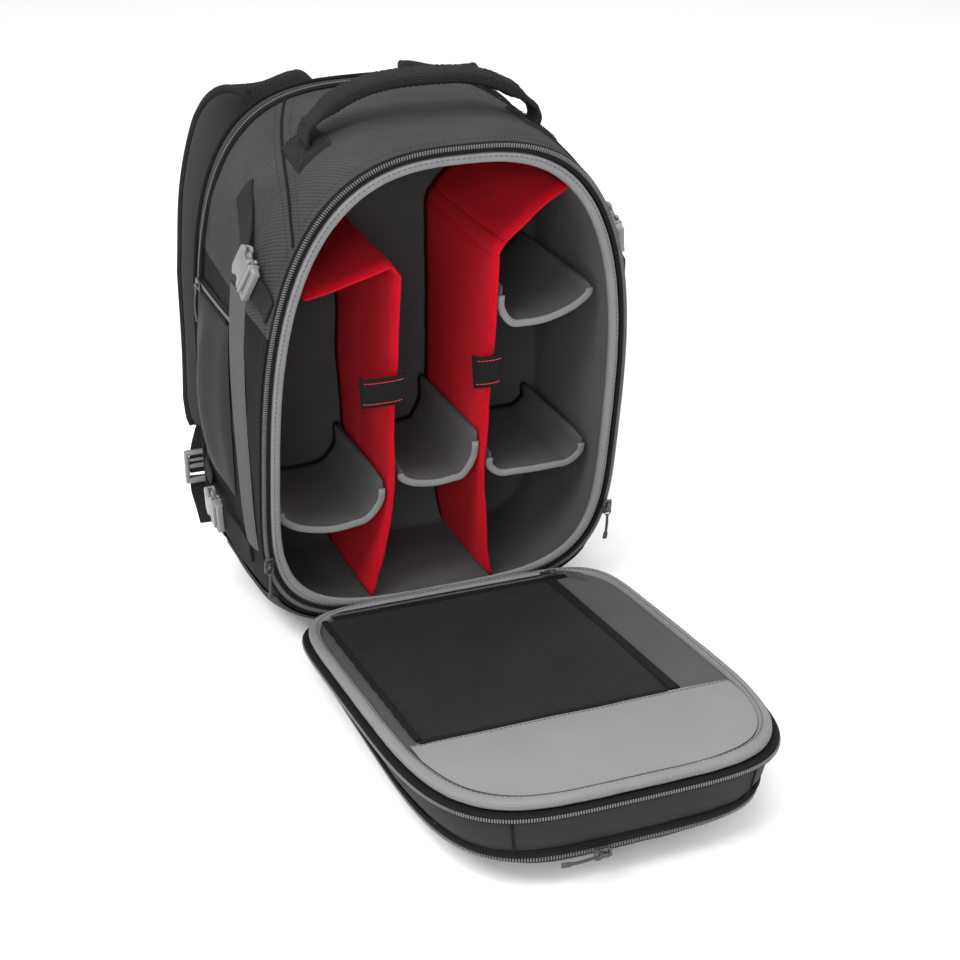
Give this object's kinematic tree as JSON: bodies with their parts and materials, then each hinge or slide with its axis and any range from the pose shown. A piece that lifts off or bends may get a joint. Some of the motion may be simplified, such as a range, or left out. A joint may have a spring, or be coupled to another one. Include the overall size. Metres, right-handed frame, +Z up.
{
  "type": "camera backpack",
  "caption": "Open front-loading camera backpack with padded dividers, zipped fold-down front panel, harness and top handle.",
  "frame": {"origin": "centre of the base's underside on the floor, midway between the sides", "axes": "+Z up, +X to the right seen from the opening, +Y towards the wearer's back"},
  "size_m": [0.3298, 0.6085, 0.4475],
  "materials": {
    "ballistic_fabric": "coarse woven",
    "smooth_fabric": "smooth coated",
    "black_fabric": "matt woven",
    "grey_binding": "woven tape",
    "grey_lining": "brushed lining",
    "light_grey_fabric": "smooth lining",
    "red_fleece": "brushed fleece",
    "webbing": "ribbed webbing",
    "grey_plastic": "moulded acetal",
    "zip_coil": "nylon coil on woven tape",
    "zip_metal": "black painted die casting",
    "mesh_fabric": "open knitted mesh"
  },
  "bodies": {
    "bag": {"outer_shell": "ballistic_fabric", "base_boot": "smooth_fabric", "back_panel": "black_fabric", "back_pad_left": "black_fabric", "back_pad_right": "black_fabric", "lumbar_pad": "black_fabric", "side_pocket_left": "black_fabric", "side_pocket_right": "black_fabric", "hinge_strip": "black_fabric", "rim_binding": "grey_binding", "padded_liner": "grey_lining", "shelf_left": "grey_lining", "shelf_centre": "grey_lining", "shelf_right_lower": "grey_lining", "shelf_right_upper": "grey_lining", "divider_left": "red_fleece", "divider_right": "red_fleece", "divider_loop_left": "webbing", "divider_loop_right": "webbing", "handle_anchor_left": "webbing", "handle_anchor_right": "webbing", "strap_rear_upper_left": "webbing", "strap_rear_upper_right": "webbing", "strap_rear_lower_left": "webbing", "strap_rear_lower_right": "webbing", "buckle_female_upper_left": "grey_plastic", "buckle_female_upper_right": "grey_plastic", "buckle_female_lower_left": "grey_plastic", "buckle_female_lower_right": "grey_plastic", "rim_zip_track": "zip_coil", "laptop_zip_track": "zip_coil"},
    "lid": {"lid_panel": "grey_lining", "lid_binding": "grey_binding", "lid_zip_track": "zip_coil", "lid_pocket_shell": "smooth_fabric", "lid_mesh": "mesh_fabric", "lid_end_panel": "light_grey_fabric", "mesh_zip_track": "zip_coil", "front_zip_track": "zip_coil"},
    "mesh_slider": {"mesh_zip_slider": "zip_metal"},
    "front_slider": {"front_zip_slider": "zip_metal"},
    "flap_left": {"divider_flap_left": "red_fleece"},
    "flap_right": {"divider_flap_right": "red_fleece"},
    "handle": {"handle_grip": "webbing"},
    "laptop_slider": {"laptop_zip_slider": "zip_metal"},
    "harness_left": {"shoulder_strap_left": "black_fabric", "ladder_lock_left": "grey_plastic", "lower_webbing_left": "webbing"},
    "opening_slider_left": {"main_slider_left": "zip_metal"},
    "side_slider_left": {"side_zip_slider_left": "zip_metal"},
    "clip_upper_left": {"buckle_male_upper_left": "grey_plastic"},
    "clip_lower_left": {"buckle_male_lower_left": "grey_plastic"},
    "harness_right": {"shoulder_strap_right": "black_fabric", "ladder_lock_right": "grey_plastic", "lower_webbing_right": "webbing"},
    "opening_slider_right": {"main_slider_right": "zip_metal"},
    "side_slider_right": {"side_zip_slider_right": "zip_metal"},
    "clip_upper_right": {"buckle_male_upper_right": "grey_plastic"},
    "clip_lower_right": {"buckle_male_lower_right": "grey_plastic"}
  },
  "joints": [
    {"name": "lid_hinge", "type": "hinge", "parent": "bag", "child": "lid", "pos_m": [0.006, -0.0825, 0.0335], "axis": [-1, 0, 0], "range_deg": [0, 73.5]},
    {"name": "flap_fold_left", "type": "hinge", "parent": "bag", "child": "flap_left", "pos_m": [-0.038, -0.02, 0.3165], "axis": [0, 1, 0], "range_deg": [0, 60]},
    {"name": "flap_fold_right", "type": "hinge", "parent": "bag", "child": "flap_right", "pos_m": [0.044, -0.02, 0.3225], "axis": [0, -1, 0], "range_deg": [0, 38]},
    {"name": "handle_swing", "type": "hinge", "parent": "bag", "child": "handle", "pos_m": [0, -0.05, 0.41282], "axis": [1, 0, 0], "range_deg": [-20, 20]},
    {"name": "laptop_zip_run", "type": "hinge", "parent": "bag", "child": "laptop_slider", "pos_m": [0, 0.0532, -0.04301], "axis": [0, -1, 0], "range_deg": [0, 17.9]},
    {"name": "mesh_zip_run", "type": "slide", "parent": "lid", "child": "mesh_slider", "axis": [-1, 0, 0], "range_m": [0, 0.15]},
    {"name": "front_zip_run", "type": "slide", "parent": "lid", "child": "front_slider", "axis": [1, 0, 0], "range_m": [-0.05, 0.05]},
    {"name": "harness_swing_left", "type": "hinge", "parent": "bag", "child": "harness_left", "pos_m": [-0.058, 0.086, 0.388], "axis": [1, 0, 0], "range_deg": [0, 30]},
    {"name": "opening_zip_run_left", "type": "slide", "parent": "bag", "child": "opening_slider_left", "axis": [-0.0322, -0.1674, 0.9854], "range_m": [0, 0.1]},
    {"name": "side_zip_run_left", "type": "slide", "parent": "bag", "child": "side_slider_left", "axis": [0.0106, -0.9999, 0], "range_m": [0, 0.06]},
    {"name": "clip_upper_left", "type": "slide", "parent": "bag", "child": "clip_upper_left", "axis": [-0.0514, -0.8876, -0.4577], "range_m": [0, 0.016]},
    {"name": "clip_lower_left", "type": "slide", "parent": "bag", "child": "clip_lower_left", "axis": [0.0255, -0.9869, -0.1592], "range_m": [0, 0.016]},
    {"name": "harness_swing_right", "type": "hinge", "parent": "bag", "child": "harness_right", "pos_m": [0.058, 0.086, 0.388], "axis": [1, 0, 0], "range_deg": [0, 30]},
    {"name": "opening_zip_run_right", "type": "slide", "parent": "bag", "child": "opening_slider_right", "axis": [0.0322, -0.1674, 0.9854], "range_m": [0, 0.1]},
    {"name": "side_zip_run_right", "type": "slide", "parent": "bag", "child": "side_slider_right", "axis": [-0.0106, -0.9999, 0], "range_m": [0, 0.06]},
    {"name": "clip_upper_right", "type": "slide", "parent": "bag", "child": "clip_upper_right", "axis": [0.0514, -0.8876, -0.4577], "range_m": [0, 0.016]},
    {"name": "clip_lower_right", "type": "slide", "parent": "bag", "child": "clip_lower_right", "axis": [-0.0255, -0.9869, -0.1592], "range_m": [0, 0.016]}
  ]
}
